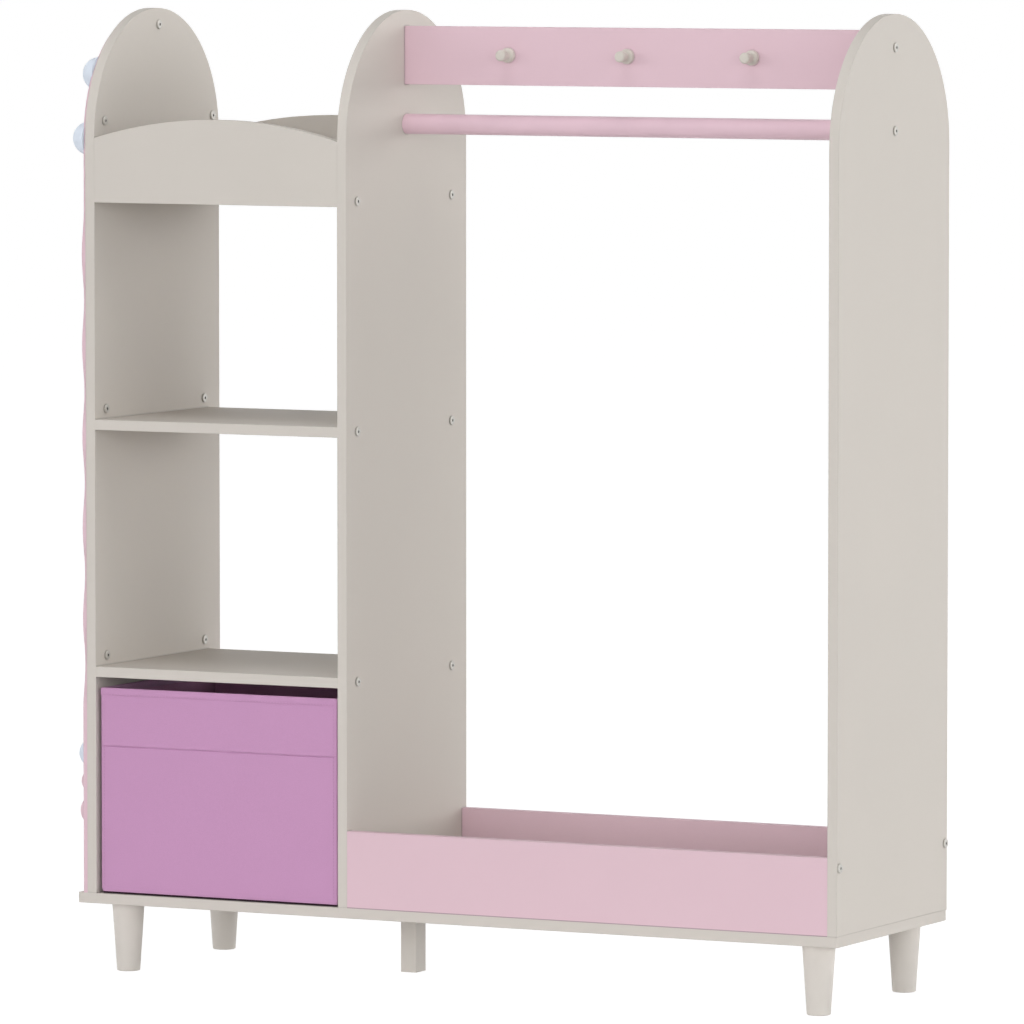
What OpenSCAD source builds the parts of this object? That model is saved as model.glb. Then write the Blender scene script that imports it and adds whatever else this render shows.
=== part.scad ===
// Dress-up storage unit for a child. The left bay has a fabric bin, two open shelves and a
// tray on top. The right bay has a clothes pole under a rail with three pegs, and a low
// tray for shoes. A mirror in a wavy frame covers the outer face of the left panel, and
// five short legs carry the base board.
// X runs to the right, Y to the back and Z up. The origin is on the floor, in the middle
// of the unit's width and depth. Sizes are in millimetres.

/* [Carcass] */
// Thickness of every board
board_t = 12; // [10:0.5:18]
// Depth of the base board and the three upright panels
unit_d = 300; // [280:1:400]
// Clear width of the left bay, between the left and the middle panel
shelf_bay_w = 320; // [280:1:420]
// Clear width of the right bay, between the middle and the right panel
hanging_bay_w = 610; // [480:1:800]
// Height of the upright panels, from the base board to the top of the arch
panel_h = 1032; // [1026:1:1150]
// How far the base board sticks out past the left panel
base_overhang = 13; // [8:0.5:24]
// Radius of the base board's four corners, seen from above
base_corner_r = 3; // [1:0.5:6]

/* [Shelves] */
// How far the lower and the upper shelf stop short of the panels' back edges
shelf_back_gap = 27; // [5:1:30]
// Clear height under the lower shelf, where the bin stands
bin_bay_h = 254; // [250:1:300]
// Clear height between the lower and the upper shelf
lower_gap_h = 277; // [200:1:290]
// Clear height between the upper shelf and the tray shelf
upper_gap_h = 253; // [200:1:265]

/* [Top tray] */
// Height of the tray's front board at its two ends
tray_end_h = 75; // [70:1:90]
// Height of the tray's front board in the middle of its arched edge
tray_mid_h = 98; // [92:1:120]
// How much lower the back board's edge is than the front board's
tray_back_drop = 1.5; // [0:0.5:10]

/* [Hanging bay] */
// Diameter of the clothes pole
pole_d = 23.5; // [16:0.5:35]
// Distance from the pole's axis up to the lower edge of the peg rail
pole_drop = 46; // [32:1:150]
// Height of the peg rail
rail_h = 67.5; // [60:0.5:90]
// Distance of the rail's top edge below the top of the panels
rail_top_gap = 18.5; // [10:0.5:40]
// Height of the low boards at the front and back of the bay
low_board_h = 89; // [84:1:150]

/* [Pegs] */
// Distance of the left peg from the middle panel
peg_1_x = 135.5; // [40:0.5:200]
// Distance of the middle peg from the middle panel
peg_2_x = 288.5; // [220:0.5:340]
// Distance of the right peg from the middle panel
peg_3_x = 446.5; // [380:0.5:465]
// Height of the pegs above the middle of the rail
peg_rise = 1; // [-10:0.5:10]
// How far each peg stands out from the rail
peg_l = 22.5; // [22:0.5:60]
// Diameter of the peg's foot, which sits on the rail
peg_foot_d = 17.2; // [16:0.2:20]
// Thickness of the peg's foot
peg_foot_l = 6; // [5:0.5:7]
// Diameter of the neck between the foot and the head
peg_neck_d = 9; // [7.6:0.2:9.4]
// Diameter of the peg's head
peg_head_d = 12.8; // [11:0.2:20]
// Length of the peg's head
peg_head_l = 11.5; // [8:0.5:12]
// Radius that rounds the edges of the peg's foot and head
peg_edge_r = 2.5; // [1:0.1:2.6]

/* [Legs] */
// Height of the legs, from the floor to the base board
leg_h = 81; // [60:1:150]
// Diameter of a round leg where it meets the base board
leg_top_d = 38.2; // [30:0.2:50]
// Diameter of a round leg at the floor
leg_foot_d = 27.4; // [20:0.2:36]
// Radius of the rounded edge at the foot of a round leg
leg_edge_r = 1.5; // [0.5:0.5:4]
// Distance from the left panel's outer face to the axis of the round legs beside it
leg_inset_left = 35.5; // [30:0.5:90]
// Distance from the right panel's outer face to the axis of the round legs beside it
leg_inset_right = 38; // [30:0.5:90]
// Distance from the base board's front or back edge to a round leg's axis
leg_inset_y = 34; // [30:0.5:90]
// Width of the square centre leg
centre_leg_w = 20; // [16:0.5:40]
// Depth of the square centre leg
centre_leg_d = 24; // [16:0.5:40]
// Distance from the front edge to the axis of the centre leg
centre_leg_y = 176; // [100:1:200]

/* [Mirror] */
// Thickness of the mirror's frame
frame_t = 5; // [4:0.5:12]
// How far the frame's edge lies inside the panel's edge in the troughs of the waves
frame_inset = 5.2; // [1:0.2:8]
// Height above the base board where the wavy edge starts
wave_low_z = 215; // [100:1:300]
// Height above the base board where the wavy edge ends
wave_high_z = 800; // [600:1:860]
// Number of half waves along the edge, an odd number
half_waves = 11; // [5:2:21]
// Width of the frame between the panel's edge and the mirror's opening
frame_border = 50; // [48:1:70]
// Height of the opening's lower edge above the base board
mirror_low_z = 238; // [200:1:330]
// Radius of the opening's two lower corners
mirror_corner_r = 20; // [5:1:60]
// Thickness of the mirror sheet
mirror_t = 2; // [1:0.2:3]
// How far the rebate for the mirror sheet reaches behind the frame on every side
mirror_lip = 5; // [2:0.5:6]
// Clearance around the mirror sheet in its rebate
mirror_gap = 0.2; // [0.1:0.1:0.5]

/* [Domes] */
// Diameter of the domes around the mirror's arch
arch_dome_d = 39.6; // [20:0.2:41]
// Distance from the panel's edge to the centres of the domes around the arch
arch_dome_edge = 20.4; // [20:0.2:24]
// Angle between the two domes on each side of the arch
arch_dome_step = 35; // [25:1:40]
// Diameter of the larger pink domes, the lowest ones
large_pink_d = 38.5; // [16:0.5:40]
// Height of the larger pink domes above the base board
large_pink_z = 94; // [30:0.5:100]
// Distance from the panel's edge to the centres of the larger pink domes
large_dome_edge = 31.5; // [20:0.5:60]
// Diameter of the smaller pink domes
small_pink_d = 29; // [12:0.5:34]
// Diameter of the blue domes above them
low_blue_d = 34; // [16:0.5:38]
// Distance from the panel's edge to the centres of the small pink and the blue domes
small_dome_edge = 24.5; // [20:0.5:60]
// Height between a low dome and the next one above it
dome_gap = 1.5; // [0.5:0.5:6]

/* [Fabric bin] */
// Gap between the bin and the left panel
bin_left_gap = 4.7; // [4:0.1:40]
// Gap between the bin and the middle panel
bin_right_gap = 2.8; // [2.6:0.1:10]
// How far the bin's front lies behind the boards' front edges
bin_front_gap = 3.5; // [1:0.5:20]
// How far the bin's back lies inside the panels' back edges
bin_back_gap = 22.5; // [2:0.5:60]
// Gap between the bin's hem and the lower shelf
bin_top_gap = 12.7; // [2:0.1:60]
// Running gap between the bin and the base board
bin_run_gap = 0.3; // [0.2:0.1:1]
// Thickness of the bin's walls and floor, board covered with fabric
bin_wall_t = 3; // [2:0.2:5]
// Height of the bound hem around the bin's mouth
hem_h = 8; // [5:0.5:15]
// Thickness of the hem's fabric
hem_t = 0.5; // [0.3:0.1:1]
// Distance of the sewn fold on the front below the bin's top
fold_drop = 68; // [40:1:100]
// Depth and height of the groove that the sewn fold makes
fold_groove = 0.8; // [0.3:0.1:1.2]
// Radius of the lower corners of the bin's front and back
bin_corner_r = 4; // [1:0.5:10]

/* [Screws] */
// Diameter of a screw's head
screw_head_d = 10.5; // [8:0.5:11]
// Height of a screw's flat head
screw_head_h = 2.2; // [1.6:0.1:2.4]
// Radius of the rounded edge of a screw's head
screw_edge_r = 0.6; // [0.2:0.1:1]
// Width of the hexagon socket in a screw's head, from corner to corner
socket_w = 3.8; // [2:0.1:4.4]
// Depth of the socket
socket_l = 1.4; // [0.5:0.1:1.8]
// Diameter of a screw's shank
screw_d = 5; // [3:0.1:5.4]
// Length of the screws that join two boards
screw_l = 38; // [25:1:45]
// How far the frame screws reach into the mirror's frame
frame_screw_bite = 2.5; // [1.5:0.5:3]
// How far the peg screws reach into the pegs
peg_screw_bite = 14; // [8:0.5:16]
// Distance from the front edge to the front row of screws on a panel's face
front_row_y = 26; // [24:0.5:34]
// Distance from the back edge to the back row of screws on a panel's face
back_row_y = 38.5; // [33:0.5:40]
// Half the distance between the frame's two arch screws
arch_screw_half = 129.5; // [122:0.5:132]
// How far the frame's three upper screws lie behind the middle of the panel
arch_screw_back = 4; // [0:0.5:6]
// Height of the arch screws above the centre of the panel's arch
arch_screw_rise = 20.5; // [8:0.5:30]
// Distance of the frame's top screw below the top of the panel
top_screw_drop = 19.5; // [15:0.5:24]
// Height of the frame's side screws above the board they stand over
side_screw_rise = 11.5; // [6:0.5:40]
// Height of the rail's screws above its lower edge
rail_screw_up = 48; // [38:1:52]
// Distance of the low boards' screws below their top edge
low_screw_drop = 11.5; // [8:0.5:30]
// Distance of the panels' base screws from the front and back edge
panel_screw_y = 54; // [40:1:90]
// Distance of the low boards' base screws from the ends of the boards
low_screw_x = 150; // [60:1:220]

/* [Dowels and leg fixings] */
// Diameter of the wooden dowels
dowel_d = 6; // [4:0.5:8]
// How deep a dowel sits in the upright panel
dowel_in = 8; // [5:0.5:10]
// How far a dowel reaches into the board that it carries
dowel_out = 16; // [10:0.5:30]
// Height of the rail's dowels above its lower edge
rail_dowel_up = 19; // [8:1:28]
// Height of the low boards' dowels above the base board
low_dowel_up = 25; // [12:1:50]
// Height of the tray boards' lower dowels above the boards' lower edge
tray_dowel_up = 24; // [15:0.5:30]
// Height between the two dowels at each end of a tray board
tray_dowel_pitch = 30; // [15:0.5:32]
// Diameter of the threaded studs in the legs
stud_d = 8; // [5:0.5:10]
// How deep a stud goes into its leg
stud_l = 26; // [15:1:40]
// Outer diameter of the threaded inserts in the base board
insert_d = 12; // [11:0.5:16]
// Height of the threaded inserts
insert_h = 9; // [6:0.5:9.5]
// Clearance around shanks, dowels and studs in their holes
hole_gap = 0.1; // [0.05:0.05:0.2]
// Clearance past the tips of shanks, dowels and studs
tip_gap = 0.5; // [0.3:0.1:1]

/* [Hidden] */
$fn = 72;
smooth = 180;        // facets of the large arcs
cut = 1;             // how far a cutting tool reaches past the face that it cuts
cream = "#cdc7bf";
rose = "#ddbdc5";
lilac = "#c692bb";
pale_blue = "#d5dff0";

// Heights
z_base = leg_h + board_t;
arch_r = unit_d / 2;
z_arch = z_base + panel_h - arch_r;
z_lower = z_base + bin_bay_h;
z_upper = z_lower + board_t + lower_gap_h;
z_tray = z_upper + board_t + upper_gap_h;
z_rail = z_base + panel_h - rail_top_gap - rail_h;
z_pole = z_rail - pole_drop;

// Places across the width: the faces of the upright panels
carcass_w = 3 * board_t + shelf_bay_w + hanging_bay_w;
left_reach = max(frame_t + arch_dome_d / 2, base_overhang);
overall_w = left_reach + carcass_w + screw_head_h;
x_left_out = left_reach - overall_w / 2;
x_left_in = x_left_out + board_t;
x_mid_left = x_left_in + shelf_bay_w;
x_mid_right = x_mid_left + board_t;
x_right_in = x_mid_right + hanging_bay_w;
x_right_out = x_right_in + board_t;
x_left = (x_left_out + x_left_in) / 2;
x_mid = (x_mid_left + x_mid_right) / 2;
x_right = (x_right_in + x_right_out) / 2;

// Places from front to back. A board that stands flush has its middle at board_ys
y_front = -unit_d / 2;
y_back = unit_d / 2;
board_ys = [y_front + board_t / 2, y_back - board_t / 2];
row_ys = [y_front + front_row_y, y_back - back_row_y];

// Places of screws and dowels on the face of an upright panel, each as [y, z]
shelf_screw_places = [for (z = [z_lower, z_upper, z_tray], y = row_ys) [y, z + board_t / 2]];
frame_screw_places = concat(
    [[arch_screw_back, z_base + panel_h - top_screw_drop]],
    [for (side = [-1, 1])
        [arch_screw_back + side * arch_screw_half, z_arch + arch_screw_rise]],
    [for (z = [z_base, z_lower + board_t, z_upper + board_t], y = row_ys)
        [y, z + side_screw_rise]]);
rail_screw_places = [[0, z_rail + rail_screw_up]];
pole_screw_places = [[0, z_pole]];
low_screw_places = [for (y = board_ys) [y, z_base + low_board_h - low_screw_drop]];
rail_dowel_places = [[0, z_rail + rail_dowel_up]];
low_dowel_places = [for (y = board_ys) [y, z_base + low_dowel_up]];
tray_dowel_places = [for (y = board_ys, up = [0, tray_dowel_pitch])
    [y, z_tray + tray_dowel_up + up]];

// Places of the screws and studs under the base board, each as [x, y]
base_screw_places = concat(
    [for (x = [x_left, x_mid, x_right], y = [y_front + panel_screw_y, y_back - panel_screw_y])
        [x, y]],
    [for (x = [x_mid_right + low_screw_x, x_right_in - low_screw_x], y = board_ys) [x, y]]);
leg_xs = [x_left_out + leg_inset_left, x_right_out - leg_inset_right];
leg_ys = [y_front + leg_inset_y, y_back - leg_inset_y];
centre_leg_place = [x_mid, y_front + centre_leg_y];
stud_places = concat([for (x = leg_xs, y = leg_ys) [x, y]], [centre_leg_place]);

// Where the pegs' feet sit on the rail
peg_places = [for (x = [peg_1_x, peg_2_x, peg_3_x])
    [x_mid_right + x, -board_t / 2, z_rail + rail_h / 2 + peg_rise]];

// Heights of the low domes, each a gap above the one below
small_pink_z = large_pink_z + (large_pink_d + small_pink_d) / 2 + dome_gap;
low_blue_z = small_pink_z + (small_pink_d + low_blue_d) / 2 + dome_gap;

// Place and outer size of the bin
bin_left = x_left_in + bin_left_gap;
bin_front_y = y_front + bin_front_gap;
bin_z = z_base + bin_run_gap;
bin_w = shelf_bay_w - bin_left_gap - bin_right_gap;
bin_d = unit_d - bin_front_gap - bin_back_gap;
bin_h = bin_bay_h - bin_run_gap - bin_top_gap;

// ---- Helpers -------------------------------------------------------------------------

// Stands a flat outline up in the YZ plane at x and gives it a thickness towards +X
module stand_x(x, t) {
    translate([x, 0, 0]) rotate([90, 0, 90]) linear_extrude(t) children();
}

// Stands a flat outline up in the XZ plane at y and gives it a thickness towards +Y
module stand_y(y, t) {
    translate([0, y + t, 0]) rotate([90, 0, 0]) linear_extrude(t) children();
}

// Places a fastener at x on every [y, z] of a list. It points to +X where dir is 1 and
// to -X where dir is -1
module along_x(x, places, dir) {
    for (p = places)
        translate([x, p[0], p[1]]) rotate([0, 90 * dir, 0]) children();
}

// Places a fastener that points up at z on every [x, y] of a list
module upward(z, places) {
    for (p = places) translate([p[0], p[1], z]) children();
}

// One half of a turned piece's outline: r from the axis, l long, with the outer corners
// rounded by e
module turned(r, l, e) {
    square([r - e, l]);
    translate([0, e]) square([r, l - 2 * e]);
    for (z = [e, l - e]) translate([r - e, z]) circle(e);
}

// A screw with a flat round head and a socket. Its head lies below z = 0, its shank above
module screw(l) {
    head_r = screw_head_d / 2;
    difference() {
        union() {
            rotate_extrude() intersection() {
                translate([0, -screw_head_h])
                    turned(head_r, 2 * screw_head_h, screw_edge_r);
                translate([0, -screw_head_h]) square([head_r, screw_head_h]);
            }
            cylinder(d = screw_d, h = l);
        }
        translate([0, 0, -screw_head_h - cut])
            cylinder(d = socket_w, h = cut + socket_l, $fn = 6);
    }
}

// The depth of a flush screw's cone
flush_l = (screw_head_d - screw_d) / 2;

// A screw whose flat head lies flush in the face that it enters
module flush_screw(l) {
    cylinder(d1 = screw_head_d, d2 = screw_d, h = flush_l);
    cylinder(d = screw_d, h = l);
}

// The hole for a screw's shank
module shank_hole(l) {
    translate([0, 0, -cut]) cylinder(d = screw_d + 2 * hole_gap, h = cut + l + tip_gap);
}

// The hole and the countersink for a flush screw
module flush_hole(l) {
    shank_hole(l);
    cylinder(d1 = screw_head_d + 2 * hole_gap, d2 = screw_d + 2 * hole_gap, h = flush_l);
}

// A wooden dowel with eased ends. The part below z = 0 sits in the upright panel
module dowel() {
    translate([0, 0, -dowel_in]) rotate_extrude()
        turned(dowel_d / 2, dowel_in + dowel_out, dowel_d / 8);
}

// The blind holes for a dowel in both boards
module dowel_hole() {
    translate([0, 0, -dowel_in - tip_gap])
        cylinder(d = dowel_d + 2 * hole_gap, h = dowel_in + dowel_out + 2 * tip_gap);
}

// An outline with a round top, 2 * r wide, from z_low to the arch
module arched_outline(r, z_low) {
    translate([-r, z_low]) square([2 * r, z_arch - z_low]);
    translate([0, z_arch]) circle(r, $fn = smooth);
}

// ---- Places of the fasteners, for the fasteners and for the holes that they need -------

module at_left_shelf_screws() along_x(x_left_out, shelf_screw_places, 1) children();
module at_middle_shelf_screws() along_x(x_mid_right, shelf_screw_places, -1) children();
module at_frame_screws() along_x(x_left_in, frame_screw_places, -1) children();

// Through the panels into the ends of the boards in the hanging bay
module at_bay_screws(places) {
    along_x(x_mid_left, places, 1) children();
    along_x(x_right_out, places, -1) children();
}

// On the panels' inner faces, where the boards of the hanging bay end
module at_bay_dowels(places) {
    along_x(x_mid_right, places, 1) children();
    along_x(x_right_in, places, -1) children();
}

module at_tray_dowels() {
    along_x(x_left_in, tray_dowel_places, 1) children();
    along_x(x_mid_left, tray_dowel_places, -1) children();
}

module at_peg_screws() {
    for (p = peg_places)
        translate([p[0], board_t / 2, p[2]]) rotate([90, 0, 0]) children();
}

// Every hole that an upright panel needs for the hanging bay's boards
module bay_holes() {
    at_bay_screws(concat(rail_screw_places, pole_screw_places, low_screw_places))
        shank_hole(screw_l);
    at_bay_dowels(concat(rail_dowel_places, low_dowel_places)) dowel_hole();
}

module base_screw_holes() {
    upward(leg_h, base_screw_places) shank_hole(screw_l);
}

// ---- Boards --------------------------------------------------------------------------

module base_board() {
    w = carcass_w + base_overhang;
    r = base_corner_r;
    color(cream) difference() {
        translate([x_left_out - base_overhang, y_front, leg_h]) linear_extrude(board_t) {
            translate([r, 0]) square([w - 2 * r, unit_d]);
            translate([0, r]) square([w, unit_d - 2 * r]);
            for (x = [r, w - r], y = [r, unit_d - r]) translate([x, y]) circle(r);
        }
        base_screw_holes();
        upward(leg_h - cut, stud_places) cylinder(d = insert_d, h = cut + insert_h);
    }
}

module upright_panel(x) {
    stand_x(x, board_t) arched_outline(arch_r, z_base);
}

module left_side_panel() {
    color(cream) difference() {
        upright_panel(x_left_out);
        at_left_shelf_screws() flush_hole(screw_l);
        at_frame_screws() shank_hole(board_t + cut);
        at_tray_dowels() dowel_hole();
        base_screw_holes();
    }
}

module middle_panel() {
    color(cream) difference() {
        upright_panel(x_mid_left);
        at_middle_shelf_screws() shank_hole(screw_l);
        at_tray_dowels() dowel_hole();
        bay_holes();
        base_screw_holes();
    }
}

module right_side_panel() {
    color(cream) difference() {
        upright_panel(x_right_in);
        bay_holes();
        base_screw_holes();
    }
}

// A shelf from the left to the middle panel, drilled at both ends
module shelf(y, d, z) {
    color(cream) difference() {
        translate([x_left_in, y, z]) cube([shelf_bay_w, d, board_t]);
        at_left_shelf_screws() shank_hole(screw_l);
        at_middle_shelf_screws() shank_hole(screw_l);
    }
}

module lower_shelf() shelf(y_front, unit_d - shelf_back_gap, z_lower);
module upper_shelf() shelf(y_front, unit_d - shelf_back_gap, z_upper);
module tray_shelf() shelf(y_front + board_t, unit_d - 2 * board_t, z_tray);

// A board of the top tray, straight below and with a shallow arch above
module tray_board(y, drop) {
    end_h = tray_end_h - drop;
    mid_h = tray_mid_h - drop;
    rise = mid_h - end_h;
    half_w = shelf_bay_w / 2;
    edge_r = (half_w * half_w + rise * rise) / (2 * rise);
    color(cream) difference() {
        stand_y(y, board_t) translate([x_left_in + half_w, z_tray]) intersection() {
            translate([-half_w, 0]) square([shelf_bay_w, mid_h]);
            translate([0, mid_h - edge_r]) circle(edge_r, $fn = 2 * smooth);
        }
        at_tray_dowels() dowel_hole();
    }
}

module tray_front_board() tray_board(y_front, 0);
module tray_back_board() tray_board(y_back - board_t, tray_back_drop);

module low_board(y) {
    color(rose) difference() {
        translate([x_mid_right, y, z_base]) cube([hanging_bay_w, board_t, low_board_h]);
        at_bay_screws(low_screw_places) shank_hole(screw_l);
        at_bay_dowels(low_dowel_places) dowel_hole();
        base_screw_holes();
    }
}

module low_front_board() low_board(y_front);
module low_back_board() low_board(y_back - board_t);

// ---- Hanging bay ---------------------------------------------------------------------

module peg_rail() {
    color(rose) difference() {
        translate([x_mid_right, -board_t / 2, z_rail])
            cube([hanging_bay_w, board_t, rail_h]);
        at_bay_screws(rail_screw_places) shank_hole(screw_l);
        at_bay_dowels(rail_dowel_places) dowel_hole();
        at_peg_screws() shank_hole(board_t + cut);
    }
}

// The outline of a turned peg from its axis outwards: a foot with a rounded front edge,
// a neck that flares into the foot, and a rounded head
module peg_outline() {
    foot_r = peg_foot_d / 2;
    neck_r = peg_neck_d / 2;
    flare_r = (foot_r - neck_r) / 2;
    difference() {
        union() {
            translate([0, -peg_edge_r])
                turned(foot_r, peg_foot_l + peg_edge_r, peg_edge_r);
            square([neck_r, peg_l - peg_head_l / 2]);
            translate([0, peg_foot_l]) square([neck_r + flare_r, flare_r]);
            translate([0, peg_l - peg_head_l]) turned(peg_head_d / 2, peg_head_l, peg_edge_r);
        }
        translate([neck_r + flare_r, peg_foot_l + flare_r]) circle(flare_r);
        translate([0, -peg_edge_r]) square([foot_r, peg_edge_r]);
    }
}

module peg(place) {
    color(cream) difference() {
        translate(place) rotate([90, 0, 0]) rotate_extrude() peg_outline();
        at_peg_screws() shank_hole(board_t + peg_screw_bite);
    }
}

module peg_left() peg(peg_places[0]);
module peg_middle() peg(peg_places[1]);
module peg_right() peg(peg_places[2]);

module clothes_pole() {
    color(rose) difference() {
        translate([x_mid_right, 0, z_pole])
            rotate([0, 90, 0]) cylinder(d = pole_d, h = hanging_bay_w);
        at_bay_screws(pole_screw_places) shank_hole(screw_l);
    }
}

// ---- Legs ----------------------------------------------------------------------------

module stud_holes() {
    upward(leg_h - stud_l - tip_gap, stud_places)
        cylinder(d = stud_d + 2 * hole_gap, h = stud_l + tip_gap + cut);
}

// A round tapered leg with a rounded edge at the floor
module round_leg(x, y) {
    foot_r = leg_foot_d / 2;
    color(cream) difference() {
        translate([x, y, 0]) rotate_extrude() {
            turned(foot_r, 3 * leg_edge_r, leg_edge_r);
            polygon([[0, leg_edge_r], [foot_r, leg_edge_r], [leg_top_d / 2, leg_h], [0, leg_h]]);
        }
        stud_holes();
    }
}

module leg_front_left() round_leg(leg_xs[0], leg_ys[0]);
module leg_front_right() round_leg(leg_xs[1], leg_ys[0]);
module leg_back_left() round_leg(leg_xs[0], leg_ys[1]);
module leg_back_right() round_leg(leg_xs[1], leg_ys[1]);

module centre_leg() {
    corner = centre_leg_place - [centre_leg_w, centre_leg_d] / 2;
    color(cream) difference() {
        translate(corner) cube([centre_leg_w, centre_leg_d, leg_h]);
        stud_holes();
    }
}

module leg_studs() {
    color("silver") upward(leg_h - stud_l, stud_places)
        cylinder(d = stud_d, h = stud_l + insert_h - 2 * tip_gap);
}

module leg_inserts() {
    color("goldenrod") difference() {
        upward(leg_h, stud_places) cylinder(d = insert_d, h = insert_h);
        upward(leg_h - cut, stud_places)
            cylinder(d = stud_d + 2 * hole_gap, h = cut + insert_h - tip_gap);
    }
}

// ---- Mirror --------------------------------------------------------------------------

// How far the frame's edge lies inside the panel's edge at height z above the base board:
// flush below the waves and at the full inset above them
function edge_inset(z) =
    z <= wave_low_z ? 0 :
    z >= wave_high_z ? frame_inset :
    frame_inset * (1 - cos(180 * half_waves * (z - wave_low_z) / (wave_high_z - wave_low_z))) / 2;

// One side of the frame's edge from the base board up, with eight steps to a half wave
wave_steps = 8 * half_waves;
edge_side = concat(
    [[arch_r, 0]],
    [for (i = [0:wave_steps])
        let (z = wave_low_z + i * (wave_high_z - wave_low_z) / wave_steps)
        [arch_r - edge_inset(z), z]],
    [[arch_r - frame_inset, z_arch - z_base]]);

module frame_outline() {
    other_side = [for (i = [len(edge_side) - 1:-1:0]) [-edge_side[i][0], edge_side[i][1]]];
    translate([0, z_base]) polygon(concat(edge_side, other_side));
    translate([0, z_arch]) circle(arch_r - frame_inset, $fn = smooth);
}

// The mirror's opening, grown on every side by grow
module mirror_outline(grow) {
    r = arch_r - frame_border + grow;
    corner = mirror_corner_r + grow;
    z_low = z_base + mirror_low_z - grow;
    arched_outline(r, z_low + corner);
    translate([corner - r, z_low]) square([2 * (r - corner), corner]);
    for (side = [-1, 1]) translate([side * (r - corner), z_low + corner]) circle(corner);
}

module mirror_frame() {
    color(rose) difference() {
        stand_x(x_left_out - frame_t, frame_t) frame_outline();
        stand_x(x_left_out - frame_t - cut, frame_t + 2 * cut) mirror_outline(0);
        stand_x(x_left_out - mirror_t, mirror_t + cut) mirror_outline(mirror_lip);
        at_frame_screws() shank_hole(board_t + frame_screw_bite);
    }
}

module mirror_sheet() {
    color("#dfe6ea") stand_x(x_left_out - mirror_t, mirror_t)
        mirror_outline(mirror_lip - mirror_gap);
}

// Half a ball on the frame's outer face, at y and z
module dome(y, z, d) {
    translate([x_left_out - frame_t, y, z]) difference() {
        sphere(d = d);
        translate([0, -d, -d]) cube(2 * d);
    }
}

// A pair of domes near the frame's two upright edges, at a height above the base board
module dome_pair(edge, up, d) {
    for (side = [-1, 1]) dome(side * (arch_r - edge), z_base + up, d);
}

module arch_domes() {
    r = arch_r - arch_dome_edge;
    color(pale_blue) for (a = [0, arch_dome_step, 180 - arch_dome_step, 180])
        dome(r * cos(a), z_arch + r * sin(a), arch_dome_d);
}

module low_blue_domes() color(pale_blue) dome_pair(small_dome_edge, low_blue_z, low_blue_d);
module small_pink_domes() color(rose) dome_pair(small_dome_edge, small_pink_z, small_pink_d);
module large_pink_domes() color(rose) dome_pair(large_dome_edge, large_pink_z, large_pink_d);

// ---- Fasteners -----------------------------------------------------------------------

module left_shelf_screws() color("silver") at_left_shelf_screws() flush_screw(screw_l);
module middle_shelf_screws() color("silver") at_middle_shelf_screws() screw(screw_l);
module mirror_frame_screws()
    color("silver") at_frame_screws() screw(board_t + frame_screw_bite);
module rail_screws() color("silver") at_bay_screws(rail_screw_places) screw(screw_l);
module pole_screws() color("silver") at_bay_screws(pole_screw_places) screw(screw_l);
module low_board_screws() color("silver") at_bay_screws(low_screw_places) screw(screw_l);
module base_screws() color("silver") upward(leg_h, base_screw_places) screw(screw_l);
module peg_screws() color("silver") at_peg_screws() screw(board_t + peg_screw_bite);

module tray_board_dowels() color("burlywood") at_tray_dowels() dowel();
module rail_dowels() color("burlywood") at_bay_dowels(rail_dowel_places) dowel();
module low_board_dowels() color("burlywood") at_bay_dowels(low_dowel_places) dowel();

// ---- Fabric bin ----------------------------------------------------------------------

// The front or back wall, up to the fold of the hem, with rounded lower corners
module bin_end_wall(y) {
    r = bin_corner_r;
    h = bin_h - hem_t;
    stand_y(y, bin_wall_t) {
        translate([bin_left + r, bin_z]) square([bin_w - 2 * r, h]);
        translate([bin_left, bin_z + r]) square([bin_w, h - r]);
        for (x = [r, bin_w - r]) translate([bin_left + x, bin_z + r]) circle(r);
    }
}

// The front wall has the narrow groove of a sewn fold across it
module bin_front() {
    color(lilac) difference() {
        bin_end_wall(bin_front_y);
        translate([bin_left - cut, bin_front_y - cut, bin_z + bin_h - fold_drop])
            cube([bin_w + 2 * cut, cut + fold_groove, fold_groove]);
    }
}

module bin_back() color(lilac) bin_end_wall(bin_front_y + bin_d - bin_wall_t);

module bin_side(x) {
    color(lilac) translate([x, bin_front_y + bin_wall_t, bin_z])
        cube([bin_wall_t, bin_d - 2 * bin_wall_t, bin_h - hem_t]);
}

module bin_left_side() bin_side(bin_left);
module bin_right_side() bin_side(bin_left + bin_w - bin_wall_t);

module bin_floor() {
    color("#5b3a58") translate([bin_left + bin_wall_t, bin_front_y + bin_wall_t, bin_z])
        cube([bin_w - 2 * bin_wall_t, bin_d - 2 * bin_wall_t, bin_wall_t]);
}

// An upright block around the bin's axis, its sides moved outwards by grow
module bin_block(grow, z, h) {
    translate([bin_left - grow, bin_front_y - grow, z])
        cube([bin_w + 2 * grow, bin_d + 2 * grow, h]);
}

// A strip folded over the mouth: it covers both faces and the top edges of the walls
module bin_hem() {
    z_top = bin_z + bin_h;
    color(lilac) difference() {
        bin_block(hem_t, z_top - hem_h, hem_h);
        bin_block(-bin_wall_t - hem_t, bin_z, bin_h + cut);
        difference() {
            bin_block(0, bin_z, bin_h - hem_t);
            bin_block(-bin_wall_t, bin_z - cut, bin_h + 2 * cut);
        }
    }
}

// ---- Drawing -------------------------------------------------------------------------

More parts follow.
